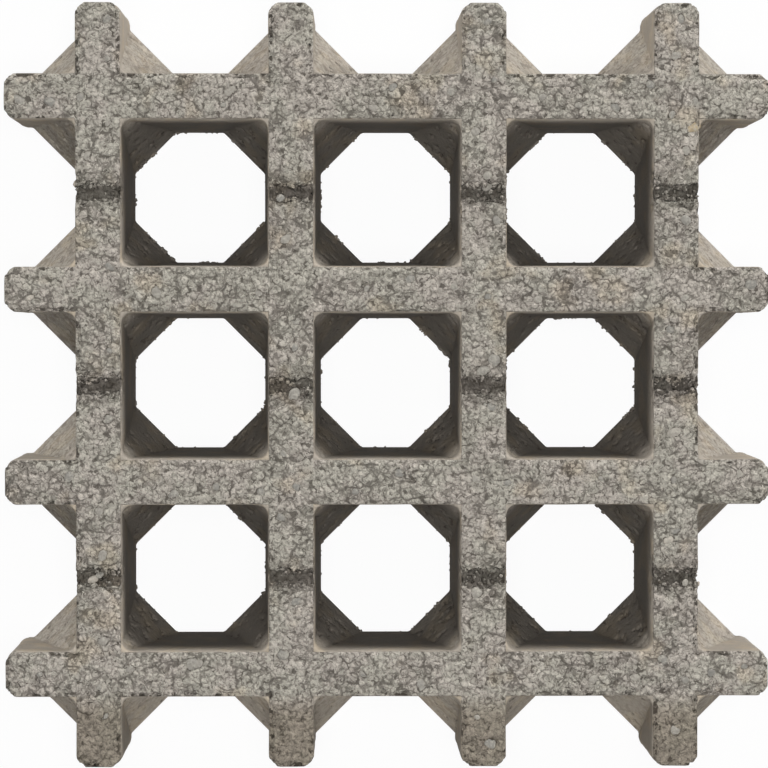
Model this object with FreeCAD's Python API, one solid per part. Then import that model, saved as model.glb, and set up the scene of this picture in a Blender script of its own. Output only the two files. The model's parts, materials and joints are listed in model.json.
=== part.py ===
import FreeCAD, Part
import math
import os

# Permeable concrete paver: one dry-cast block, an open grid of crossing webs.
# Millimetres, +Z up. The origin is the middle of the underside, and the paver lies flat.
# The webs stand on a square module. Each full module between four webs is an open cell, and round the edge
# the block is cut half-way through its modules, which leaves a stub at both ends of every web.

MODULE = 152.4           # distance from one cell centre to the next
CELLS_A_SIDE = 3         # whole cells along each side
JOINT_GAP = 4.0          # how much the block is smaller than its modules, so that two blocks lie side by side
THICKNESS = 101.6        # height of the block
WEB_WIDTH = 36.5         # width of a web at the top face
CELL_DRAFT = 4.85        # how far a cell wall leans in between the top face and the underside
STUB_DRAFT = 0.5         # the same lean on the sides of the stubs and the outer faces of the outer webs
CELL_RADIUS = 8.5        # rounding of a cell's upright corners
STUB_RADIUS = 9.5        # rounding of a stub's upright corners at its end
ARRIS_RADIUS = 3.5       # rounding of every edge of the top face
GUSSET_SPACING = 102.2   # clear distance at the underside between two gussets on a cell's diagonal
GUSSET_DROP = 12.0       # depth under the top face at which a gusset starts
MARK_WIDTH = 11.0        # width of the channel that a core bar leaves across a web
MARK_DEPTH = 7.0         # depth of that channel
MARK_RADIUS = 4.0        # rounding of the channel's bottom

OVERRUN = 5.0            # how far the cutting shapes run past the block, so that no faces coincide
SAME_PLACE = 0.01        # two heights or places closer than this are the same

SIDE = (CELLS_A_SIDE + 1) * MODULE - JOINT_GAP
HALF_MOUTH = (MODULE - WEB_WIDTH) / 2
UP = FreeCAD.Vector(0, 0, 1)
ORIGIN = FreeCAD.Vector(0, 0, 0)


def blank():
    """The plain square block that the cells are cut from."""
    corner = FreeCAD.Vector(-SIDE / 2, -SIDE / 2, 0)
    return Part.makeBox(SIDE, SIDE, THICKNESS, corner)


def tapered_prism(half_low, half_high, height):
    """A square prism from z = 0 to the height, given by half its width there, run past both its ends."""
    lean = (half_high - half_low) / height
    low = half_low - OVERRUN * lean
    high = half_high + OVERRUN * lean
    top = height + OVERRUN
    prism = Part.makeWedge(-low, -OVERRUN, -low, -high, -high, low, top, low, high, high)
    prism.rotate(ORIGIN, FreeCAD.Vector(1, 0, 0), 90)
    return prism


def is_upright(edge):
    """True for an edge that runs from one height to another."""
    first, last = edge.Vertexes[0].Point, edge.Vertexes[-1].Point
    return abs(first.z - last.z) > SAME_PLACE


def cell_core(draft):
    """The open space of one module: a tapered square with round corners, and a gusset across each corner."""
    walls = tapered_prism(HALF_MOUTH - draft, HALF_MOUTH, THICKNESS)
    walls = walls.makeFillet(CELL_RADIUS, [edge for edge in walls.Edges if is_upright(edge)])

    gusset_top = THICKNESS - GUSSET_DROP
    half_width = HALF_MOUTH - draft * GUSSET_DROP / THICKNESS
    corner_reach = half_width * math.sqrt(2) - CELL_RADIUS * (math.sqrt(2) - 1)
    lean = (corner_reach - GUSSET_SPACING / 2) / gusset_top
    gussets = tapered_prism(GUSSET_SPACING / 2, GUSSET_SPACING / 2 + lean * THICKNESS, THICKNESS)
    gussets.rotate(ORIGIN, UP, 45)
    return walls.common(gussets)


def cores():
    """Every open space: whole cells inside, and half and quarter cells on the block's edge and corners."""
    inner_core = cell_core(CELL_DRAFT)
    edge_core = cell_core(STUB_DRAFT)
    last = CELLS_A_SIDE + 1
    placed = []
    for column in range(last + 1):
        for row in range(last + 1):
            on_edge = column in (0, last) or row in (0, last)
            core = edge_core.copy() if on_edge else inner_core.copy()
            core.translate(FreeCAD.Vector((column - last / 2) * MODULE, (row - last / 2) * MODULE, 0))
            placed.append(core)
    return placed


def round_stub_ends(block):
    """Round the upright corners of every stub's end face."""
    def at_end(edge):
        reach = [max(abs(vertex.Point.x), abs(vertex.Point.y)) for vertex in edge.Vertexes]
        return min(reach) > SIDE / 2 - SAME_PLACE

    return block.makeFillet(STUB_RADIUS, [edge for edge in block.Edges if is_upright(edge) and at_end(edge)])


def round_arrises(block):
    """Round the edges of the top face, round the outline and round every cell."""
    def on_top(edge):
        return min(vertex.Point.z for vertex in edge.Vertexes) > THICKNESS - SAME_PLACE

    return block.makeFillet(ARRIS_RADIUS, [edge for edge in block.Edges if on_top(edge)])


def core_bar_marks():
    """The channels left where the core bars cross the webs: one beside each cell, on the webs along Y."""
    web_foot = WEB_WIDTH + 2 * CELL_DRAFT
    start = FreeCAD.Vector(-web_foot / 2, -MARK_WIDTH / 2, THICKNESS - MARK_DEPTH)
    channel = Part.makeBox(web_foot, MARK_WIDTH, MARK_DEPTH + OVERRUN, start)
    bottom_edges = [
        edge for edge in channel.Edges
        if abs(edge.CenterOfMass.z - start.z) < SAME_PLACE and abs(edge.CenterOfMass.x) < SAME_PLACE
    ]
    channel = channel.makeFillet(MARK_RADIUS, bottom_edges)

    marks = []
    for web in range(CELLS_A_SIDE + 1):
        for cell in range(CELLS_A_SIDE):
            mark = channel.copy()
            x = (web - CELLS_A_SIDE / 2) * MODULE
            y = (cell - (CELLS_A_SIDE - 1) / 2) * MODULE
            mark.translate(FreeCAD.Vector(x, y, 0))
            marks.append(mark)
    return marks


def paver():
    block = blank().cut(cores())
    block = round_stub_ends(block)
    block = round_arrises(block)
    block = block.cut(core_bar_marks())
    return block.Solids[0] if len(block.Solids) == 1 else block


os.makedirs("parts", exist_ok=True)
paver().exportStep("parts/paver.step")
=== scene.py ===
import json

import bmesh
import bpy
from mathutils import Matrix, Vector

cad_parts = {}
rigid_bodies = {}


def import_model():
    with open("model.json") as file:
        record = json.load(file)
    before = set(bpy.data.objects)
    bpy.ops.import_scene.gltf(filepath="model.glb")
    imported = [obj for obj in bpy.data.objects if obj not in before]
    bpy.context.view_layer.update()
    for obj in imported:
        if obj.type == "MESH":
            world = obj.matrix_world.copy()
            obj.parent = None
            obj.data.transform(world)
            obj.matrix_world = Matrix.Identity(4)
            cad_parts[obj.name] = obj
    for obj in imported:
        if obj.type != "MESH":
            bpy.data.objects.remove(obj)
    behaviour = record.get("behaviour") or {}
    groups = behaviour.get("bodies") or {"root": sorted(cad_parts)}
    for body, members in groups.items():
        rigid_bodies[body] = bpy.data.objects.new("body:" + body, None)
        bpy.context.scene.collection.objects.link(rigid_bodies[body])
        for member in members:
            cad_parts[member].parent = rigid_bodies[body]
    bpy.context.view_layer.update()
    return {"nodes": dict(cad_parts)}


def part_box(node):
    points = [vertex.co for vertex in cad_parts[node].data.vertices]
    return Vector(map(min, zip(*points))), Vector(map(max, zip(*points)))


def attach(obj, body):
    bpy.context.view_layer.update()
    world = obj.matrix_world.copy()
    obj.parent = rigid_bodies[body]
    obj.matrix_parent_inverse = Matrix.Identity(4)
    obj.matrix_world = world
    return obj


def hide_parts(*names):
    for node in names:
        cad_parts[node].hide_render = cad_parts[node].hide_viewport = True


bl_info = {
    "name": "Open-grid concrete paver",
    "version": (1, 0, 0),
    "blender": (4, 5, 0),
    "location": "3D View > Sidebar > Paver",
    "description": "Gives an open-grid paving block its dry-cast surface, stones, burrs and stage",
    "category": "Object",
}

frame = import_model()

# The block's plan, in metres. It stands on a square module, and its cells repeat on it.
MM = 0.001
LOW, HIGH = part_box("paver")
SIDE = HIGH.x - LOW.x
TOP = HIGH.z
CELLS_A_SIDE = 3
JOINT = 4.0 * MM
MODULE = (SIDE + JOINT) / (CELLS_A_SIDE + 1)
WEB = 36.5 * MM
HALF_MOUTH = (MODULE - WEB) / 2
CELL_DRAFT = 4.85 * MM
GUSSET_DROP = 12.0 * MM
GUSSET_FOOT = 72.3 * MM          # |x| + |y| from a cell's centre where a gusset meets the underside
GUSSET_HEAD = 109.8 * MM         # the same where it starts, just under the top face
LAST_WEB = CELLS_A_SIDE / 2 * MODULE

# what the surface is packed from
SAND = 2.3 * MM
SMALL_LUMP = 4.2 * MM
LARGE_LUMP = 8.5 * MM
PLATE = 14.0 * MM

# sizes that a tree's inputs and the panel's settings both start from
GRAIN_DEPTH = 1.3 * MM
PIT_DEPTH = 2.4 * MM
HOLLOW_DEPTH = 2.2 * MM
MARK_RAGGEDNESS = 5.0 * MM
STONE_RADIUS = 4.5 * MM
STONE_SPACING = 21 * MM
CRUMB_RADIUS = 2.6 * MM
BURR_RADIUS = 2.2 * MM
BURR_SPACING = 1.2 * MM

SAME_CORNER = 1e-6               # corners of the CAD mesh closer than this are one
FULL_TURN = 6.28


# ---------------------------------------------------------------- node building

class Nodes:
    """Adds nodes to a shader or geometry tree. Both kinds share their maths and texture nodes."""

    def __init__(self, tree):
        self.tree = tree

    def add(self, kind, **settings):
        node = self.tree.nodes.new(kind)
        for name, value in settings.items():
            setattr(node, name, value)
        return node

    def put(self, socket, value):
        """Link a socket, or set it to a plain value."""
        if isinstance(value, bpy.types.NodeSocket):
            self.tree.links.new(value, socket)
        else:
            socket.default_value = value

    def fill(self, node, values):
        """Put each value in the node's input of that name or number."""
        for key, value in values.items():
            self.put(node.inputs[key], value)
        return node

    def math(self, operation, *values):
        node = self.add("ShaderNodeMath", operation=operation)
        return self.fill(node, dict(enumerate(values))).outputs[0]

    def product(self, first, *others):
        for other in others:
            first = self.math("MULTIPLY", first, other)
        return first

    def total(self, first, *others):
        for other in others:
            first = self.math("ADD", first, other)
        return first

    def largest(self, first, *others):
        for other in others:
            first = self.math("MAXIMUM", first, other)
        return first

    def vector(self, operation, *values):
        node = self.add("ShaderNodeVectorMath", operation=operation)
        return self.fill(node, dict(enumerate(values))).outputs[0]

    def scaled(self, vector, factor):
        node = self.add("ShaderNodeVectorMath", operation="SCALE")
        return self.fill(node, {0: vector, "Scale": factor}).outputs[0]

    def axes(self, vector):
        return self.fill(self.add("ShaderNodeSeparateXYZ"), {0: vector}).outputs

    def step(self, value, low, high):
        """0 at low, 1 at high and smooth between them. Low may be above high."""
        node = self.add("ShaderNodeMapRange", interpolation_type="SMOOTHSTEP")
        if low > high:
            return self.fill(node, {0: value, 1: high, 2: low, 3: 1.0, 4: 0.0}).outputs[0]
        return self.fill(node, {0: value, 1: low, 2: high, 3: 0.0, 4: 1.0}).outputs[0]

    def between(self, factor, low, high):
        """A value from low to high, as the factor goes from 0 to 1."""
        node = self.add("ShaderNodeMapRange", clamp=True)
        return self.fill(node, {0: factor, 1: 0.0, 2: 1.0, 3: low, 4: high}).outputs[0]

    def noise(self, place, size, detail=2.0, roughness=0.5):
        node = self.add("ShaderNodeTexNoise")
        values = {"Vector": place, "Scale": 1.0 / size, "Detail": detail, "Roughness": roughness}
        return self.fill(node, values).outputs[0]

    def cells(self, place, size, feature="F1"):
        node = self.add("ShaderNodeTexVoronoi", feature=feature)
        return self.fill(node, {"Vector": place, "Scale": 1.0 / size, "Randomness": 1.0}).outputs

    def random(self, low, high, seed):
        """A fixed random number, or vector, for each point."""
        many = isinstance(low, tuple)
        node = self.add("FunctionNodeRandomValue", data_type="FLOAT_VECTOR" if many else "FLOAT")
        first = 0 if many else 2
        self.fill(node, {first: low, first + 1: high, "Seed": seed})
        return node.outputs[0 if many else 1]

    def mix_colour(self, factor, first, second, blend="MIX"):
        node = self.add("ShaderNodeMix", data_type="RGBA", blend_type=blend)
        return self.fill(node, {0: factor, 6: first, 7: second}).outputs[2]

    def brightened(self, tint, bright):
        grey = self.fill(self.add("ShaderNodeCombineColor"), {0: bright, 1: bright, 2: bright})
        return self.mix_colour(1.0, tint, grey.outputs[0], "MULTIPLY")


def moved(nodes, place, x, y, z):
    """A texture's place, moved so that no two textures line up."""
    return nodes.vector("ADD", place, (x, y, z))


def from_cell(nodes, value):
    """How far a point lies from the nearest cell's centre line, along one axis."""
    return nodes.product(nodes.math("PINGPONG", nodes.product(value, 1 / MODULE), 0.5), MODULE)


def places_on_block(nodes, place):
    """Masks, from 0 to 1, for the parts of the block's surface, worked out from where a point lies."""
    x, y, z = nodes.axes(place)
    from_cell_x, from_cell_y = from_cell(nodes, x), from_cell(nodes, y)
    into_web = nodes.largest(from_cell_x, from_cell_y)
    far_x, far_y = nodes.math("ABSOLUTE", x), nodes.math("ABSOLUTE", y)
    from_middle = nodes.largest(far_x, far_y)

    high = nodes.step(z, TOP - 16 * MM, TOP - 12 * MM)
    inside_end = nodes.step(from_middle, SIDE / 2 - 0.3 * MM, SIDE / 2 - 1.2 * MM)
    top = nodes.product(nodes.step(into_web, HALF_MOUTH + 0.2 * MM, HALF_MOUTH + 1.2 * MM), high, inside_end)

    lean = (GUSSET_HEAD - GUSSET_FOOT) / (TOP - GUSSET_DROP)
    reach = nodes.total(nodes.product(z, lean), GUSSET_FOOT)
    past = nodes.math("SUBTRACT", nodes.total(from_cell_x, from_cell_y), reach)
    below = nodes.step(z, TOP - 8 * MM, TOP - 20 * MM)
    inside_cell = nodes.step(into_web, HALF_MOUTH + 1.5 * MM, HALF_MOUTH)
    gusset = nodes.product(nodes.step(past, -4 * MM, -0.5 * MM), below, inside_cell)

    on_y_web = nodes.step(from_cell_x, HALF_MOUTH - 6 * MM, HALF_MOUTH)
    not_stub = nodes.step(far_y, LAST_WEB, LAST_WEB - 0.1 * MODULE)
    mark_area = nodes.product(on_y_web, not_stub, nodes.step(z, TOP - 26 * MM, TOP - 18 * MM))
    underside = nodes.step(z, 2.0 * MM, 0.5 * MM)
    frayed = nodes.product(nodes.math("SUBTRACT", nodes.noise(place, 6 * MM, 3.0, 0.6), 0.5), 22 * MM)
    in_mark = nodes.step(nodes.total(from_cell_y, frayed), 8 * MM, 4.5 * MM)
    # deep in the inner cells, above the underside, where the walls are given painted shade
    inner = nodes.step(from_middle, LAST_WEB - 2.6 * MM, LAST_WEB - 14.6 * MM)
    down = nodes.product(nodes.step(z, TOP - 6 * MM, TOP - 40 * MM), nodes.step(z, 0.2 * MM, 0.7 * MM))
    return {
        "z": z, "top": top, "gusset": gusset, "underside": underside, "deep": nodes.product(inner, down),
        "smooth_stub": nodes.step(y, -SIDE / 2 + 62 * MM, -SIDE / 2 + 38 * MM),
        "mark": nodes.product(mark_area, in_mark),
        "near_mark": nodes.product(mark_area, nodes.step(from_cell_y, 24 * MM, 8 * MM)),
        "arris": nodes.largest(
            nodes.step(into_web, HALF_MOUTH + 6 * MM, HALF_MOUTH + 2 * MM),
            nodes.step(from_middle, SIDE / 2 - 6 * MM, SIDE / 2 - 2 * MM)),
        "outline": nodes.step(from_middle, LAST_WEB + 8 * MM, LAST_WEB + 18 * MM),
    }


def packed_grains(nodes, place, where):
    """The packed sand and gravel of dry-cast concrete: masks, from 0 to 1, of what shows on its surface."""
    wander = nodes.add("ShaderNodeTexNoise")
    nodes.fill(wander, {"Vector": place, "Scale": 1 / (5 * MM), "Detail": 1.5})
    shift = nodes.vector("SUBTRACT", wander.outputs["Color"], (0.5, 0.5, 0.5))
    bent = nodes.vector("ADD", place, nodes.scaled(shift, 5 * MM))

    # how open the surface is here: from close paste to loose lumps
    patch = nodes.noise(moved(nodes, place, 3.1, 1.7, 0.4), 34 * MM, 2.0)
    coarse = nodes.largest(nodes.step(patch, 0.38, 0.60), where["near_mark"])
    loose = nodes.total(nodes.between(coarse, -0.02, 0.02), nodes.product(where["smooth_stub"], -0.075))

    def share_of(size, offset):
        """How far apart the lumps of one size lie here, about 0.5 and more where the surface is loose."""
        return nodes.total(nodes.noise(moved(nodes, place, *offset), 1.1 * size, 2.0, 0.6), loose)

    def holes(size, opening, offset):
        """Lumps of one size, from their middles: how round they stand, and the holes where three meet."""
        nearest = nodes.cells(moved(nodes, bent, *offset), size)
        apart = nodes.product(nodes.total(share_of(size, offset), -0.5), 0.9)
        hole = nodes.step(nodes.total(nearest["Distance"], apart), opening, opening + 0.10)
        tone = nodes.axes(nearest["Color"])[0]
        return {"round": nodes.step(nearest["Distance"], 0.80, 0.10), "hole": hole, "tone": tone}

    def seams(size, width, offset, across=1.0):
        """The broken dark line between lumps of one size."""
        at = nodes.vector("MULTIPLY", moved(nodes, bent, *offset), (across, 1.0, 1.0))
        edge = nodes.cells(at, size, "DISTANCE_TO_EDGE")["Distance"]
        swing = nodes.between(nodes.noise(moved(nodes, place, *offset), 1.6 * MM, 1.0), 0.2, 1.9)
        line = nodes.step(nodes.product(edge, swing), width / size, 0.25 * width / size)
        return nodes.product(line, nodes.step(share_of(size, reversed(offset)), 0.49, 0.56))

    sand = holes(SAND, 0.67, (0.3, 0.1, 0.2))
    small = holes(SMALL_LUMP, 0.71, (1.3, 2.1, 0.7))
    large = holes(LARGE_LUMP, 0.92, (2.2, 0.4, 1.9))
    seam = nodes.largest(
        nodes.product(seams(SMALL_LUMP, 0.80 * MM, (1.3, 2.1, 0.7)), 0.5),
        nodes.product(seams(LARGE_LUMP, 1.00 * MM, (2.2, 0.4, 1.9)), 0.7),
        nodes.product(seams(PLATE, 1.20 * MM, (4.1, 1.2, 3.3), across=0.62), 0.9),
    )

    hollow_noise = nodes.noise(moved(nodes, place, 8.0, 2.0, 1.0), 15 * MM, 3.0, 0.62)
    hollow = nodes.step(nodes.total(hollow_noise, loose), 0.60, 0.70)
    gap = nodes.largest(nodes.product(sand["hole"], 0.7), small["hole"], large["hole"], seam)
    chip_noise = nodes.noise(moved(nodes, place, 5.0, 9.0, 2.0), 8 * MM, 3.0, 0.6)
    chip = nodes.product(nodes.step(chip_noise, 0.53, 0.61), where["arris"], where["outline"])
    return {
        "coarse": coarse, "gap": gap, "chip": chip, "hollow": hollow,
        "sand": sand, "small": small, "large": large,
    }


# ---------------------------------------------------------------- the cast block

def weathered_surface_tree():
    """The Geometry Nodes tree that carves the block's surface."""
    sizes = {
        "Grain depth": GRAIN_DEPTH, "Pit depth": PIT_DEPTH, "Hollow depth": HOLLOW_DEPTH,
        "Mark raggedness": MARK_RAGGEDNESS,
    }
    nodes, given = geometry_tree("Dry-cast surface", sizes, "Stones")
    place = nodes.add("GeometryNodeInputPosition").outputs[0]
    normal = nodes.add("GeometryNodeInputNormal").outputs[0]
    where = places_on_block(nodes, place)
    grains = packed_grains(nodes, place, where)

    # how far a point is from the nearest exposed stone, and the groove round the stone
    stones = nodes.fill(nodes.add("GeometryNodeObjectInfo"), {"Object": given["Stones"]}).outputs["Geometry"]
    near = nodes.fill(nodes.add("GeometryNodeProximity", target_element="FACES"), {0: stones})
    stone_gap = near.outputs["Distance"]
    groove = nodes.step(stone_gap, 1.8 * MM, 0.3 * MM)

    # the top face
    swell = nodes.product(nodes.noise(place, 45 * MM, 2.0), 0.8 * MM)
    grain_depth = nodes.product(given["Grain depth"], nodes.between(grains["coarse"], 0.5, 1.0))
    gaps = nodes.product(grains["gap"], grain_depth)
    humps = nodes.total(
        nodes.product(grains["small"]["round"], -0.5 * MM),
        nodes.product(grains["large"]["round"], -0.6 * MM),
    )
    pits = nodes.product(grains["large"]["hole"], given["Pit depth"])
    hollows = nodes.product(grains["hollow"], given["Hollow depth"])
    top_depth = nodes.total(swell, gaps, humps, pits, hollows, nodes.product(groove, 0.9 * MM), 1.0 * MM)
    top_depth = nodes.total(top_depth, nodes.product(grains["chip"], 4.5 * MM))

    # the marks of the core bars: torn concrete, deeper in one and half filled in another
    torn = nodes.noise(moved(nodes, place, 4.0, 4.0, 4.0), 7 * MM, 3.0, 0.65)
    holes = nodes.product(nodes.step(torn, 0.52, 0.66), 2.6 * MM)
    tears = nodes.product(nodes.math("SUBTRACT", torn, 0.40), given["Mark raggedness"])
    torn_depth = nodes.product(nodes.total(tears, holes), where["near_mark"])

    # walls are smooth paste, and gussets are open and rough
    wall_wave = nodes.product(nodes.noise(place, 30 * MM, 2.0), 0.7 * MM)
    gusset_rough = nodes.noise(moved(nodes, place, 6.0, 1.0, 3.0), 8 * MM, 4.0, 0.65)
    gusset_pits = nodes.product(nodes.step(gusset_rough, 0.56, 0.70), 2.6 * MM)
    gusset_depth = nodes.total(nodes.product(gusset_rough, 1.2 * MM), gusset_pits)
    gusset_depth = nodes.product(gusset_depth, where["gusset"])

    not_top = nodes.math("SUBTRACT", 1.0, where["top"])
    foot = nodes.step(where["z"], 10 * MM, 3 * MM)
    depth = nodes.total(
        nodes.product(top_depth, where["top"]),
        torn_depth,
        nodes.product(nodes.total(wall_wave, gusset_depth), not_top, nodes.between(foot, 1.0, 0.3)),
    )
    free = nodes.math("SUBTRACT", 1.0, where["underside"])
    depth = nodes.product(nodes.largest(depth, 0.0), free)
    carved = pushed(nodes, given["Geometry"], nodes.scaled(normal, nodes.product(depth, -1.0)))
    marked = store(nodes, carved, "stone_gap", nodes.math("MINIMUM", stone_gap, 8 * MM))
    return end_tree(nodes, marked, given["Concrete"])


def geometry_tree(name, lengths, object_name=None):
    """Start a Geometry Nodes tree with the given length inputs. Gives its builder and its inputs."""
    tree = bpy.data.node_groups.new(name, "GeometryNodeTree")
    tree.is_modifier = True
    face = tree.interface
    face.new_socket("Geometry", in_out="INPUT", socket_type="NodeSocketGeometry")
    for each, value in lengths.items():
        socket = face.new_socket(each, in_out="INPUT", socket_type="NodeSocketFloat")
        socket.subtype = "DISTANCE"
        socket.default_value = value
    if object_name:
        face.new_socket(object_name, in_out="INPUT", socket_type="NodeSocketObject")
    face.new_socket("Concrete", in_out="INPUT", socket_type="NodeSocketMaterial")
    face.new_socket("Geometry", in_out="OUTPUT", socket_type="NodeSocketGeometry")
    nodes = Nodes(tree)
    return nodes, nodes.add("NodeGroupInput").outputs


def end_tree(nodes, geometry, material):
    """Finish a tree with real geometry of one material, and give the tree."""
    whole = nodes.fill(nodes.add("GeometryNodeRealizeInstances"), {0: geometry})
    made = nodes.add("GeometryNodeSetMaterial")
    nodes.fill(made, {"Geometry": whole.outputs[0], "Material": material})
    nodes.put(nodes.add("NodeGroupOutput").inputs[0], made.outputs[0])
    return nodes.tree


def store(nodes, geometry, name, value):
    """Keep a number for each point under a name, for the material to read."""
    node = nodes.add("GeometryNodeStoreNamedAttribute", data_type="FLOAT", domain="POINT")
    return nodes.fill(node, {"Geometry": geometry, "Name": name, "Value": value}).outputs[0]


def pushed(nodes, geometry, offset):
    """Move each point by its own offset."""
    node = nodes.add("GeometryNodeSetPosition")
    return nodes.fill(node, {"Geometry": geometry, "Offset": offset}).outputs[0]


def upwards(nodes, height):
    return nodes.fill(nodes.add("ShaderNodeCombineXYZ"), {2: height}).outputs[0]


def ball(nodes, segments, rings):
    """A coarse ball of radius 1, for a shape that is repeated many times."""
    node = nodes.add("GeometryNodeMeshUVSphere")
    return nodes.fill(node, {"Segments": segments, "Rings": rings, "Radius": 1.0}).outputs[0]


def copies_on(nodes, points, shape, turn, scale, kept=True):
    """A copy of a shape on each point that is kept."""
    values = {"Points": points, "Selection": kept, "Instance": shape, "Rotation": turn, "Scale": scale}
    return nodes.fill(nodes.add("GeometryNodeInstanceOnPoints"), values).outputs[0]


def roughened(nodes, geometry, amount, size):
    """Realize copies of a shape and push each point a little, so that no two copies are alike."""
    whole = nodes.fill(nodes.add("GeometryNodeRealizeInstances"), {0: geometry}).outputs[0]
    place = nodes.add("GeometryNodeInputPosition").outputs[0]
    wave = nodes.add("ShaderNodeTexNoise")
    nodes.fill(wave, {"Vector": place, "Scale": 1.0 / size, "Detail": 1.0})
    push = nodes.scaled(nodes.vector("SUBTRACT", wave.outputs["Color"], (0.5, 0.5, 0.5)), amount)
    return pushed(nodes, whole, push)


# ---------------------------------------------------------------- stones, crumbs and burrs

# Exposed stones that stand out. Each has its place on the top face, its radius and its depth under the face,
# in millimetres, and its tone, which goes from grey to pale to tan.
STONES = (
    (-121.5, 234.5, 11.0, 0.2, 0.50),
    (242.0, 204.5, 6.5, 0.2, 1.00),
    (228.5, -36.5, 7.5, 0.2, 0.55),
    (223.5, -122.0, 5.0, 0.2, 0.85),
    (-282.0, 69.5, 3.4, 0.2, 0.80),
    (-233.0, -153.5, 4.6, 2.0, 0.80),
    (-228.0, -150.0, 3.6, 2.6, 0.35),
    (76.0, 12.0, 6.0, 0.3, 0.40),
    (79.0, 157.0, 4.4, 2.4, 0.45),
    (-80.0, 116.0, 5.2, 0.3, 0.45),
    (-150.0, -220.0, 7.0, 0.3, 0.45),
)


def stone_points():
    """The stones that stand out, as points with their radius and tone."""
    mesh = bpy.data.meshes.new("stone_points")
    mesh.from_pydata([(x * MM, y * MM, TOP - depth * MM) for x, y, radius, depth, shade in STONES], [], [])
    radii = mesh.attributes.new("stone_radius", "FLOAT", "POINT")
    tones = mesh.attributes.new("tone", "FLOAT", "POINT")
    for index, (x, y, radius, depth, shade) in enumerate(STONES):
        radii.data[index].value = radius * MM
        tones.data[index].value = shade
    return mesh


def patches(name, boxes, height):
    """A mesh of flat rectangles at one height, each given by its middle and half sizes."""
    mesh = bpy.data.meshes.new(name)
    points, faces = [], []
    for x, y, half_x, half_y in boxes:
        start = len(points)
        for sign_x, sign_y in ((-1, -1), (1, -1), (1, 1), (-1, 1)):
            points.append((x + sign_x * half_x, y + sign_y * half_y, height))
        faces.append((start, start + 1, start + 2, start + 3))
    mesh.from_pydata(points, [], faces)
    return mesh


def web_lines():
    """Where the webs' centre lines lie, on either axis."""
    return [(index - CELLS_A_SIDE / 2) * MODULE for index in range(CELLS_A_SIDE + 1)]


def cell_lines():
    """Where the whole cells' centre lines lie, on either axis."""
    return [(index - (CELLS_A_SIDE - 1) / 2) * MODULE for index in range(CELLS_A_SIDE)]


def stone_tree():
    """Rounded stones, scattered on flat patches and set on the points of the notable ones."""
    sizes = {"Stone radius": STONE_RADIUS, "Stone spacing": STONE_SPACING}
    nodes, given = geometry_tree("Exposed stones", sizes, "Notable")
    scatter = nodes.add("GeometryNodeDistributePointsOnFaces", distribute_method="POISSON")
    values = {
        "Mesh": given["Geometry"], "Distance Min": given["Stone spacing"], "Density Max": 1500.0, "Seed": 4}
    scattered = nodes.fill(scatter, values).outputs["Points"]
    radius = nodes.product(given["Stone radius"], nodes.random(0.55, 1.45, 11))
    scattered = store(nodes, scattered, "stone_radius", radius)
    scattered = store(nodes, scattered, "tone", nodes.random(0.15, 0.5, 12))
    chosen = nodes.fill(nodes.add("GeometryNodeObjectInfo"), {"Object": given["Notable"]})
    notable = nodes.fill(nodes.add("GeometryNodeMeshToPoints"), {"Mesh": chosen.outputs["Geometry"]}).outputs[0]
    both = nodes.add("GeometryNodeJoinGeometry")
    nodes.put(both.inputs[0], scattered)
    nodes.put(both.inputs[0], notable)

    named = nodes.add("GeometryNodeInputNamedAttribute", data_type="FLOAT")
    named.inputs["Name"].default_value = "stone_radius"
    own_radius = named.outputs[0]
    sunk = pushed(nodes, both.outputs[0], upwards(nodes, nodes.product(own_radius, -0.46)))
    stone = nodes.fill(nodes.add("GeometryNodeMeshIcoSphere"), {"Radius": 1.0, "Subdivisions": 3}).outputs[0]
    shape = nodes.random((0.85, 0.65, 0.38), (1.1, 0.95, 0.44), 13)
    turn = nodes.random((-0.12, -0.12, 0.0), (0.12, 0.12, FULL_TURN), 14)
    copies = copies_on(nodes, sunk, stone, turn, nodes.scaled(shape, own_radius))
    return end_tree(nodes, roughened(nodes, copies, 1.2 * MM, 5 * MM), given["Concrete"])


def crumb_tree():
    """Crumbs scattered over the marks: they lie high at a mark's sides and low along its middle."""
    nodes, given = geometry_tree("Crumbs in the marks", {"Crumb radius": CRUMB_RADIUS})
    scatter = nodes.add("GeometryNodeDistributePointsOnFaces", distribute_method="RANDOM")
    values = {"Mesh": given["Geometry"], "Density": 90000.0, "Seed": 7}
    scattered = nodes.fill(scatter, values).outputs["Points"]
    place = nodes.add("GeometryNodeInputPosition").outputs[0]
    at_side = nodes.step(from_cell(nodes, nodes.axes(place)[1]), 2.0 * MM, 6.0 * MM)
    filled = nodes.step(nodes.noise(moved(nodes, place, 0.3, 0.2, 0.0), 45 * MM, 3.0), 0.44, 0.58)
    radius = nodes.product(given["Crumb radius"], nodes.random(0.4, 1.3, 21))
    radius = nodes.product(radius, nodes.between(at_side, 0.7, 1.0))
    crowd = nodes.total(nodes.product(at_side, 0.6), nodes.product(filled, 0.8))
    kept = nodes.math("GREATER_THAN", crowd, nodes.random(0.0, 1.0, 22))
    drop = nodes.between(nodes.largest(at_side, filled), 5.5 * MM, 1.0 * MM)
    drop = nodes.product(drop, nodes.random(0.6, 1.1, 23))
    down = nodes.math("SUBTRACT", nodes.product(drop, -1.0), nodes.product(radius, 0.9))
    sunk = pushed(nodes, scattered, upwards(nodes, down))
    crumb = ball(nodes, 8, 5)
    shape = nodes.random((0.7, 0.6, 0.6), (1.2, 1.0, 0.95), 24)
    turn = nodes.random((0, 0, 0), (FULL_TURN, FULL_TURN, FULL_TURN), 25)
    copies = copies_on(nodes, sunk, crumb, turn, nodes.scaled(shape, radius), kept)
    return end_tree(nodes, roughened(nodes, copies, 1.6 * MM, 2.4 * MM), given["Concrete"])


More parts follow.
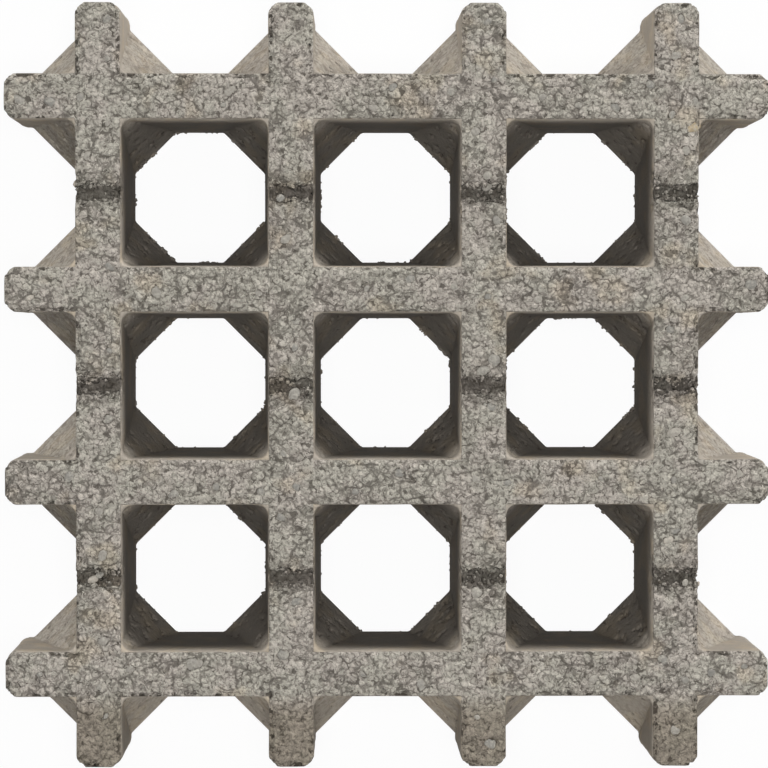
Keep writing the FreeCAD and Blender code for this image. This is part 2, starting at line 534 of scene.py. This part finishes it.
def burr_tree():
    """Burrs in clusters along the cells' bottom edges, with more of them towards the far side."""
    sizes = {"Burr radius": BURR_RADIUS, "Burr spacing": BURR_SPACING}
    nodes, given = geometry_tree("Burrs under the cells", sizes)
    rim = nodes.fill(nodes.add("GeometryNodeMeshToCurve"), {0: given["Geometry"]}).outputs[0]
    along = nodes.add("GeometryNodeCurveToPoints", mode="LENGTH")
    points = nodes.fill(along, {"Curve": rim, "Length": given["Burr spacing"]}).outputs[0]
    place = nodes.add("GeometryNodeInputPosition").outputs[0]
    cluster = nodes.step(nodes.noise(moved(nodes, place, 1.0, 0.0, 0.0), 16 * MM, 3.0, 0.6), 0.46, 0.66)
    far = nodes.between(nodes.step(nodes.axes(place)[1], -120 * MM, 180 * MM), 0.30, 1.0)
    crowd = nodes.total(nodes.product(cluster, far), 0.04)
    kept = nodes.math("GREATER_THAN", crowd, nodes.random(0.0, 1.0, 31))
    radius = nodes.product(given["Burr radius"], nodes.random(0.35, 1.0, 32))
    radius = nodes.product(radius, nodes.between(cluster, 0.6, 1.1))
    jitter = nodes.random((-0.3 * MM, -0.3 * MM, 0.0), (0.3 * MM, 0.3 * MM, 1.4 * MM), 33)
    loose = pushed(nodes, points, jitter)
    burr = ball(nodes, 7, 4)
    shape = nodes.random((0.7, 0.6, 0.6), (1.4, 1.0, 1.0), 34)
    turn = nodes.random((0, 0, 0), (FULL_TURN, FULL_TURN, FULL_TURN), 35)
    copies = copies_on(nodes, loose, burr, turn, nodes.scaled(shape, radius), kept)
    return end_tree(nodes, roughened(nodes, copies, 1.0 * MM, 1.4 * MM), given["Concrete"])


def cell_feet():
    """The outline of every whole cell just over the underside, where its gussets come in furthest."""
    mesh = bpy.data.meshes.new("cell_feet")
    wide = HALF_MOUTH - CELL_DRAFT + 0.6 * MM
    narrow = GUSSET_FOOT + 1.2 * MM - wide
    outline = [
        (wide, -narrow), (wide, narrow), (narrow, wide), (-narrow, wide),
        (-wide, narrow), (-wide, -narrow), (-narrow, -wide), (narrow, -wide)]
    points, edges = [], []
    for middle_x in cell_lines():
        for middle_y in cell_lines():
            start = len(points)
            points += [(middle_x + x, middle_y + y, 2.2 * MM) for x, y in outline]
            edges += [(start + index, start + (index + 1) % len(outline)) for index in range(len(outline))]
    mesh.from_pydata(points, edges, [])
    return mesh


def grown(name, mesh, tree, values):
    """A piece that a Geometry Nodes tree grows from a plain mesh."""
    piece = placed(name, mesh)
    growth = piece.modifiers.new("Growth", "NODES")
    growth.node_group = tree
    for key, value in values.items():
        set_input(growth, key, value)
    settled(piece)
    finish_piece(piece)


def made_before(kind, name, operator):
    """What an earlier operator made. It is an error if that operator hasn't run."""
    found = kind.get(name)
    if found is None:
        raise RuntimeError(f"{name} isn't there: run {operator} first")
    return found


def make_stones(settings):
    """Scatter stones along the middle of every web, and set the notable ones."""
    half = WEB / 2 - 8 * MM
    half_length = SIDE / 2 - 12 * MM
    along_y = [(x, 0, half, half_length) for x in web_lines()]
    along_x = [(0, y, half_length, half) for y in web_lines()]
    mesh = patches("exposed_stones", along_y + along_x, TOP - 0.55 * MM)
    notable = placed("notable_stones", stone_points())
    values = {
        "Stone radius": settings.stone_radius, "Stone spacing": settings.stone_spacing,
        "Notable": notable, "Concrete": stone_material(settings),
    }
    grown("exposed_stones", mesh, stone_tree(), values)
    bpy.data.objects.remove(notable)


def make_crumbs(settings):
    """Fill each core bar mark with crumbs, on a patch a little narrower than its web."""
    boxes = [(x, y, WEB / 2 - 1.5 * MM, 7.5 * MM) for x in web_lines() for y in cell_lines()]
    mesh = patches("mark_crumbs", boxes, TOP)
    concrete = made_before(bpy.data.materials, "Dry-cast concrete", "paver.block")
    grown("mark_crumbs", mesh, crumb_tree(), {"Crumb radius": settings.crumb_radius, "Concrete": concrete})


def make_burrs(settings):
    """Grow the burrs along every whole cell's bottom edge."""
    concrete = made_before(bpy.data.materials, "Dry-cast concrete", "paver.block")
    values = {
        "Burr radius": settings.burr_radius, "Burr spacing": settings.burr_spacing, "Concrete": concrete}
    grown("cell_burrs", cell_feet(), burr_tree(), values)


def set_input(modifier, name, value):
    """Set a Geometry Nodes modifier's input, by its name in the tree's interface."""
    for item in modifier.node_group.interface.items_tree:
        if item.item_type == "SOCKET" and item.in_out == "INPUT" and item.name == name:
            modifier[item.identifier] = value
            return
    raise KeyError(name)


def merged_copy(node):
    """A closed copy of a CAD node's mesh, with its loose triangles joined."""
    mesh = frame["nodes"][node].data.copy()
    work = bmesh.new()
    work.from_mesh(mesh)
    bmesh.ops.remove_doubles(work, verts=work.verts, dist=SAME_CORNER)
    work.to_mesh(mesh)
    work.free()
    mesh.materials.clear()
    return mesh


def placed(name, mesh):
    """A new object with a mesh, in the scene, at the origin."""
    piece = bpy.data.objects.new(name, mesh)
    bpy.context.scene.collection.objects.link(piece)
    return piece


def settled(piece):
    """Replace a piece's mesh with what its modifiers make of it, and take them off."""
    graph = bpy.context.evaluated_depsgraph_get()
    mesh = bpy.data.meshes.new_from_object(piece.evaluated_get(graph), depsgraph=graph)
    piece.modifiers.clear()
    piece.data = mesh
    mesh.name = piece.name


def finish_piece(piece, *stands_for):
    """Smooth a piece, and say what it rides on and which CAD node it replaces."""
    for polygon in piece.data.polygons:
        polygon.use_smooth = True
    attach(piece, "root")
    if stands_for:
        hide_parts(*stands_for)


def make_block(settings):
    """Carve an even, closed copy of the CAD solid, and thin it to the most triangles that it may have."""
    stones = made_before(bpy.data.objects, "exposed_stones", "paver.stones")
    block = placed("cast_block", merged_copy("paver"))
    remesh = block.modifiers.new("Even mesh", "REMESH")
    remesh.mode = "VOXEL"
    remesh.voxel_size = settings.mesh_size * 1
    surface = block.modifiers.new("Surface", "NODES")
    surface.node_group = weathered_surface_tree()
    set_input(surface, "Grain depth", settings.grain_depth)
    set_input(surface, "Pit depth", settings.pit_depth)
    set_input(surface, "Hollow depth", settings.hollow_depth)
    set_input(surface, "Mark raggedness", settings.mark_raggedness)
    set_input(surface, "Stones", stones)
    set_input(surface, "Concrete", concrete_material(settings))
    settled(block)
    triangles = sum(len(polygon.vertices) - 2 for polygon in block.data.polygons)
    if triangles > settings.most_triangles:
        thin = block.modifiers.new("Thin", "DECIMATE")
        thin.ratio = settings.most_triangles / triangles
        settled(block)
    finish_piece(block, "paver")


# ---------------------------------------------------------------- materials

def colour(red, green, blue):
    """A colour from its sRGB parts, 0 to 255, as Blender's nodes hold it."""
    def linear(part):
        part = part / 255
        return part / 12.92 if part <= 0.04045 else ((part + 0.055) / 1.055) ** 2.4
    return (linear(red), linear(green), linear(blue), 1.0)


def start_material(name):
    """A new material with an empty tree, and the builder for its nodes."""
    material = bpy.data.materials.new(name)
    material.use_nodes = True
    material.node_tree.nodes.clear()
    return material, Nodes(material.node_tree)


def end_material(nodes, shader):
    nodes.put(nodes.add("ShaderNodeOutputMaterial").inputs["Surface"], shader.outputs[0])


def bumped(nodes, height):
    """The surface's direction, once a height in metres has roughened it."""
    values = {"Strength": 1.0, "Distance": 1.0, "Height": height}
    return nodes.fill(nodes.add("ShaderNodeBump"), values).outputs[0]


def concrete_material(settings):
    """Dry-cast concrete: grainy and open on the top face, smooth paste on the walls."""
    material, nodes = start_material("Dry-cast concrete")
    place = nodes.add("ShaderNodeTexCoord").outputs["Object"]
    where = places_on_block(nodes, place)
    grains = packed_grains(nodes, place, where)

    # the cement paste's own colour drifts over the block
    drift = nodes.step(nodes.noise(moved(nodes, place, 1.0, 2.0, 3.0), 30 * MM, 4.0, 0.6), 0.40, 0.60)
    tint = nodes.mix_colour(drift, settings.warm_grey, settings.green_grey)
    tan_patch = nodes.step(nodes.noise(moved(nodes, place, 9.0, 5.0, 1.0), 30 * MM, 2.0), 0.56, 0.72)
    tan_share = nodes.largest(nodes.product(tan_patch, 0.35), nodes.product(where["smooth_stub"], 0.4))
    tint = nodes.mix_colour(tan_share, tint, settings.tan)

    # each lump is a little lighter or darker than the next
    speckle = nodes.noise(place, 1.0 * MM, 2.0, 0.6)
    bright = nodes.total(
        nodes.between(nodes.noise(moved(nodes, place, 2.0, 8.0, 5.0), 12 * MM, 3.0), -0.13, 0.13),
        nodes.between(grains["sand"]["tone"], -0.06, 0.06),
        nodes.between(grains["small"]["tone"], -0.07, 0.07),
        nodes.between(speckle, -0.22, 0.22),
        nodes.product(where["smooth_stub"], -0.42),
        # painted shade: each lump is darker towards its edges and a little lighter at its middle
        nodes.between(grains["small"]["round"], -0.12, 0.03),
        nodes.between(grains["sand"]["round"], -0.08, 0.03),
        1.06,
    )
    body = nodes.brightened(tint, bright)

    # gaps are darkened with painted shade, and so is the broken ring round an exposed stone, with the chips,
    # hollows and sunken marks; stains by the marks take the same dark colour
    from_stone = nodes.add("ShaderNodeAttribute", attribute_name="stone_gap").outputs["Fac"]
    broken = nodes.step(nodes.noise(place, 4 * MM, 2.0), 0.42, 0.54)
    ring = nodes.product(nodes.step(from_stone, 1.1 * MM, 0.5 * MM), broken)
    sunken = nodes.step(where["z"], TOP - 1.6 * MM, TOP - 4.5 * MM)
    mark_shade = nodes.between(nodes.noise(place, 5 * MM, 3.0), 0.35, 1.15)
    mark_painted_shade = nodes.product(where["mark"], mark_shade, sunken)
    stain = nodes.step(nodes.noise(place, 9 * MM, 3.0), 0.48, 0.62)
    stained = nodes.product(where["near_mark"], stain, 0.3)
    # painted shade in the gaps, the ring round a stone, chips, hollows and sunken marks, and the stains by the
    # marks
    painted_shade_and_stain = nodes.largest(
        nodes.product(grains["gap"], 0.72),
        nodes.product(ring, 0.8),
        nodes.product(nodes.step(grains["chip"], 0.35, 0.9), 0.85),
        nodes.product(grains["hollow"], 0.18),
        mark_painted_shade,
        stained,
    )
    top_colour = nodes.mix_colour(painted_shade_and_stain, body, settings.crevice_shade_and_stain)

    # the paste on the walls, with painted shade that makes it darker down in the cells, and the open pits of
    # the gussets, darkened with painted shade
    wall_tone_and_painted_shade = nodes.product(
        nodes.between(nodes.noise(place, 2.0 * MM, 3.0, 0.6), 0.86, 1.14),
        nodes.between(nodes.noise(moved(nodes, place, 3.0, 3.0, 1.0), 26 * MM, 2.0), 0.86, 1.14),
        # painted shade: the walls darken deep in the inner cells
        nodes.between(where["deep"], 1.0, 0.44),
    )
    creamy = nodes.step(nodes.noise(moved(nodes, place, 7.0, 1.0, 8.0), 22 * MM, 3.0), 0.46, 0.66)
    paste = nodes.mix_colour(nodes.product(creamy, 0.4), settings.paste, settings.tan)
    wall_colour = nodes.brightened(paste, wall_tone_and_painted_shade)
    # painted shade in the gussets' open pits
    wall_pits = nodes.step(nodes.noise(moved(nodes, place, 6.0, 1.0, 3.0), 8 * MM, 4.0, 0.65), 0.56, 0.66)
    painted_pit_shade = nodes.product(wall_pits, where["gusset"], 0.6)
    wall_colour = nodes.mix_colour(painted_pit_shade, wall_colour, settings.crevice_shade_and_stain)
    grainy_gusset = nodes.product(where["gusset"], nodes.between(where["deep"], 0.4, 0.0))
    grainy = nodes.largest(where["top"], grainy_gusset)
    surface_colour = nodes.mix_colour(grainy, wall_colour, top_colour)

    rough = nodes.between(speckle, 0.86, 0.98)
    height = nodes.total(
        nodes.product(grains["sand"]["round"], 0.8 * MM),
        nodes.product(grains["small"]["round"], 1.5 * MM),
        nodes.product(speckle, 0.5 * MM),
    )
    height = nodes.total(
        nodes.product(height, nodes.between(where["top"], 0.15, 1.0)),
        nodes.product(nodes.noise(place, 2.5 * MM, 2.0, 0.6), 0.35 * MM),
    )

    shader = nodes.add("ShaderNodeBsdfPrincipled")
    shader.inputs["Specular IOR Level"].default_value = 0.25
    nodes.fill(shader, {"Base Color": surface_colour, "Roughness": rough, "Normal": bumped(nodes, height)})
    end_material(nodes, shader)
    return material


def stone_material(settings):
    """Gravel from grey to pale, and tan here and there, with paste still on it."""
    material, nodes = start_material("Exposed stone")
    place = nodes.add("ShaderNodeTexCoord").outputs["Object"]
    tone_here = nodes.add("ShaderNodeAttribute", attribute_name="tone").outputs["Fac"]
    greys = nodes.mix_colour(nodes.step(tone_here, 0.2, 0.8), settings.grey_stone, settings.pale_stone)
    tint = nodes.mix_colour(nodes.step(tone_here, 0.88, 0.96), greys, settings.tan_stone)
    blotch = nodes.noise(place, 2.2 * MM, 3.0, 0.6)
    tint = nodes.brightened(tint, nodes.between(blotch, 0.55, 1.30))
    paste = nodes.step(nodes.noise(moved(nodes, place, 4.0, 2.0, 1.0), 3 * MM, 3.0, 0.6), 0.50, 0.60)
    paste_colour = nodes.brightened(settings.green_grey, nodes.between(blotch, 0.6, 1.2))
    tint = nodes.mix_colour(nodes.product(paste, 0.6), tint, paste_colour)

    shader = nodes.add("ShaderNodeBsdfPrincipled")
    shader.inputs["Specular IOR Level"].default_value = 0.25
    shader.inputs["Roughness"].default_value = 0.85
    nodes.fill(shader, {"Base Color": tint, "Normal": bumped(nodes, nodes.product(blotch, 0.9 * MM))})
    end_material(nodes, shader)
    return material


# ---------------------------------------------------------------- stage

# each lamp's name, place and size; all face the block, and the panel sets their power
LAMPS = (
    ("overhead", (0.0, 0.0, 3.2), (1.3, 1.3)),
    ("far_left", (-2.3, 2.3, 0.5), (2.6, 0.95)),
    ("far_right", (2.3, 2.3, 0.5), (2.6, 0.95)),
    ("near", (0.0, -3.0, 0.5), (3.0, 0.95)),
)


def make_stage(settings):
    """Add a wide pale floor, a dim even sky, the lamps and a camera that looks down on the block."""
    reach = 40 * SIDE
    mesh = bpy.data.meshes.new("floor")
    corners = [(-reach, -reach, 0), (reach, -reach, 0), (reach, reach, 0), (-reach, reach, 0)]
    mesh.from_pydata(corners, [], [(0, 1, 2, 3)])
    floor = placed("floor", mesh)
    floor.location.z = -0.2 * MM
    mesh.materials.append(floor_material(settings))

    world = bpy.data.worlds.new("Studio")
    world.use_nodes = True
    bpy.context.scene.world = world
    nodes = Nodes(world.node_tree)
    world.node_tree.nodes.clear()
    seen = nodes.add("ShaderNodeLightPath").outputs
    shown = nodes.largest(seen["Is Camera Ray"], seen["Is Glossy Ray"])
    strength = nodes.between(shown, settings.sky_strength, 1.0)
    sky = nodes.fill(nodes.add("ShaderNodeBackground"), {"Color": (1, 1, 1, 1), "Strength": strength})
    nodes.put(nodes.add("ShaderNodeOutputWorld").inputs["Surface"], sky.outputs[0])

    for name, place, size in LAMPS:
        add_lamp(name, Vector(place), size, getattr(settings, f"{name}_power"))

    camera = bpy.data.cameras.new("camera")
    camera.lens = settings.lens
    camera.clip_start = 0.01
    eye = bpy.data.objects.new("camera", camera)
    bpy.context.scene.collection.objects.link(eye)
    stand = Vector((settings.camera_x, settings.camera_y, TOP + settings.camera_height))
    look_from(eye, stand, Vector((settings.aim_x, settings.aim_y, TOP)), Vector((0, 1, 0)))
    bpy.context.scene.camera = eye
    bpy.context.scene.view_settings.view_transform = "Standard"


def look_from(holder, place, target, up):
    """Stand a camera or lamp at a place, facing the target, with the given direction upwards."""
    back = (place - target).normalized()
    right = up.cross(back).normalized()
    over = back.cross(right)
    turn = Matrix((right, over, back)).transposed()
    holder.matrix_world = Matrix.Translation(place) @ turn.to_4x4()


def add_lamp(name, place, size, watts):
    lamp = bpy.data.lights.new(name, "AREA")
    lamp.shape = "RECTANGLE"
    lamp.size, lamp.size_y = size
    lamp.energy = watts
    holder = bpy.data.objects.new(name, lamp)
    bpy.context.scene.collection.objects.link(holder)
    look_from(holder, place, Vector((0, 0, TOP / 2)), Vector((0, 0.001, 1)))


def floor_material(settings):
    """White where the camera sees it, less a soft shadow, and darker in what it throws back on the block."""
    material, nodes = start_material("Floor")
    seen = nodes.add("ShaderNodeLightPath").outputs
    shown = nodes.largest(seen["Is Camera Ray"], seen["Is Glossy Ray"], seen["Is Transmission Ray"])
    tone_seen = nodes.mix_colour(shown, settings.floor_colour, (0.9, 0.9, 0.9, 1.0))
    matt = nodes.fill(nodes.add("ShaderNodeBsdfDiffuse"), {"Color": tone_seen})
    white = nodes.fill(nodes.add("ShaderNodeEmission"), {"Color": (1, 1, 1, 1), "Strength": 1.0})
    share = nodes.product(shown, settings.floor_white)
    blend = nodes.fill(nodes.add("ShaderNodeMixShader"), {0: share, 1: matt.outputs[0], 2: white.outputs[0]})
    end_material(nodes, blend)
    return material


# ---------------------------------------------------------------- settings, operators and panel

def length(name, description, default, low, high):
    return bpy.props.FloatProperty(
        name=name, description=description, default=default, min=low, max=high, precision=5,
        subtype="DISTANCE", unit="LENGTH")


def tone(name, description, default):
    return bpy.props.FloatVectorProperty(
        name=name, description=description, default=default, size=4, min=0.0, max=1.0, subtype="COLOR")


def power(name, description, default):
    return bpy.props.FloatProperty(name=name, description=description, default=default, min=0.0, unit="POWER")


class PaverBlockSettings(bpy.types.PropertyGroup):
    mesh_size: length("Mesh size", "Spacing of the mesh before it is thinned", 1.4 * MM, 0.5 * MM, 10 * MM)
    most_triangles: bpy.props.IntProperty(
        name="Most triangles", description="The block's mesh is thinned to this many",
        default=196000, min=1000)
    grain_depth: length("Grain depth", "Depth of the gaps between grains", GRAIN_DEPTH, 0.0, 4 * MM)
    pit_depth: length("Pit depth", "Depth of the holes where large lumps meet", PIT_DEPTH, 0.0, 8 * MM)
    hollow_depth: length("Hollow depth", "Depth of the wide hollows", HOLLOW_DEPTH, 0.0, 8 * MM)
    mark_raggedness: length("Mark raggedness", "How torn the marks are", MARK_RAGGEDNESS, 0.0, 10 * MM)
    warm_grey: tone("Warm grey", "Cement paste with a pink cast", colour(193, 185, 175))
    green_grey: tone("Green grey", "Cement paste with a green cast", colour(190, 185, 173))
    tan: tone("Tan", "Sandy patches", colour(201, 183, 155))
    paste: tone("Wall paste", "Smooth paste on the cell walls", colour(172, 163, 151))
    # the colour of the painted shade at the bottom of gaps and pits, and of the stains by the marks
    crevice_shade_and_stain: tone("Crevice", "Bottom of gaps and pits", colour(56, 49, 41))
    pale_stone: tone("Pale stone", "Lightest stones in the mix", colour(192, 184, 172))
    grey_stone: tone("Grey stone", "Darkest stones in the mix", colour(150, 147, 140))
    tan_stone: tone("Tan stone", "A sandstone pebble here and there", colour(187, 170, 142))
    stone_radius: length("Stone radius", "Usual radius of an exposed stone", STONE_RADIUS, 1 * MM, 15 * MM)
    stone_spacing: length("Stone spacing", "Least distance between stones", STONE_SPACING, 8 * MM, 100 * MM)
    crumb_radius: length("Crumb radius", "Usual radius of a crumb in a mark", CRUMB_RADIUS, 0.5 * MM, 6 * MM)
    burr_radius: length("Burr radius", "Largest burrs under the cells", BURR_RADIUS, 0.3 * MM, 4 * MM)
    burr_spacing: length("Burr spacing", "Distance between burrs", BURR_SPACING, 0.5 * MM, 10 * MM)


class PaverStageSettings(bpy.types.PropertyGroup):
    camera_x: length("Camera X", "Where the camera stands, across the block", -39.8 * MM, -1.0, 1.0)
    camera_y: length("Camera Y", "Where the camera stands, along the block", 56.4 * MM, -1.0, 1.0)
    aim_x: length("Aim X", "Where the camera looks, across the block", -2.8 * MM, -1.0, 1.0)
    aim_y: length("Aim Y", "Where the camera looks, along the block", 1.4 * MM, -1.0, 1.0)
    camera_height: length("Camera height", "Height of the camera over the top face", 2.27, 0.5, 10.0)
    lens: bpy.props.FloatProperty(
        name="Lens", description="Focal length of the camera",
        default=134.7, min=20, max=300, unit="CAMERA")
    sky_strength: bpy.props.FloatProperty(
        name="Sky strength", description="Even light from all round", default=0.06, min=0.0, max=2.0)
    overhead_power: power("Overhead power", "Power of the soft lamp over the block", 70.0)
    far_left_power: power("Far left power", "Power of the low lamp past the far left corner", 58.0)
    far_right_power: power("Far right power", "Power of the low lamp past the far right corner", 94.0)
    near_power: power("Near power", "Power of the low lamp before the near edge", 38.0)
    floor_white: bpy.props.FloatProperty(
        name="Floor white", description="How much of the floor shows as plain white",
        default=0.93, min=0.0, max=1.0, subtype="FACTOR")
    floor_colour: tone("Floor colour", "What the floor throws back on the block", (0.03, 0.03, 0.03, 1.0))


class PAVER_OT_block(bpy.types.Operator):
    """Make the cast block's surface in place of the plain CAD solid"""
    bl_idname = "paver.block"
    bl_label = "Cast block"

    def execute(self, context):
        make_block(context.scene.paver_block)
        return {"FINISHED"}


class PAVER_OT_stones(bpy.types.Operator):
    """Add the stones that show in the top face"""
    bl_idname = "paver.stones"
    bl_label = "Exposed stones"

    def execute(self, context):
        make_stones(context.scene.paver_block)
        return {"FINISHED"}


class PAVER_OT_crumbs(bpy.types.Operator):
    """Add the crumbs in the core bar marks"""
    bl_idname = "paver.crumbs"
    bl_label = "Crumbs"

    def execute(self, context):
        make_crumbs(context.scene.paver_block)
        return {"FINISHED"}


class PAVER_OT_burrs(bpy.types.Operator):
    """Add the ragged burrs under the cells' edges"""
    bl_idname = "paver.burrs"
    bl_label = "Burrs"

    def execute(self, context):
        make_burrs(context.scene.paver_block)
        return {"FINISHED"}


class PAVER_OT_stage(bpy.types.Operator):
    """Add the floor, the light and the camera"""
    bl_idname = "paver.stage"
    bl_label = "Stage"

    def execute(self, context):
        make_stage(context.scene.paver_stage)
        return {"FINISHED"}


class PAVER_PT_panel(bpy.types.Panel):
    """The paver's settings and the steps that make it"""
    bl_label = "Open-grid paver"
    bl_space_type = "VIEW_3D"
    bl_region_type = "UI"
    bl_category = "Paver"

    def draw(self, context):
        for settings in (context.scene.paver_block, context.scene.paver_stage):
            box = self.layout.box()
            for name in settings.__annotations__:
                box.prop(settings, name)
        for operator in OPERATORS:
            self.layout.operator(operator.bl_idname)


OPERATORS = (PAVER_OT_stones, PAVER_OT_block, PAVER_OT_crumbs, PAVER_OT_burrs, PAVER_OT_stage)
CLASSES = (PaverBlockSettings, PaverStageSettings, *OPERATORS, PAVER_PT_panel)


def register():
    for each in CLASSES:
        bpy.utils.register_class(each)
    bpy.types.Scene.paver_block = bpy.props.PointerProperty(type=PaverBlockSettings)
    bpy.types.Scene.paver_stage = bpy.props.PointerProperty(type=PaverStageSettings)


def unregister():
    del bpy.types.Scene.paver_stage
    del bpy.types.Scene.paver_block
    for each in reversed(CLASSES):
        bpy.utils.unregister_class(each)


def main():
    register()
    bpy.ops.paver.stones()
    bpy.ops.paver.block()
    bpy.ops.paver.crumbs()
    bpy.ops.paver.burrs()
    bpy.ops.paver.stage()


if __name__ == "__main__":
    main()
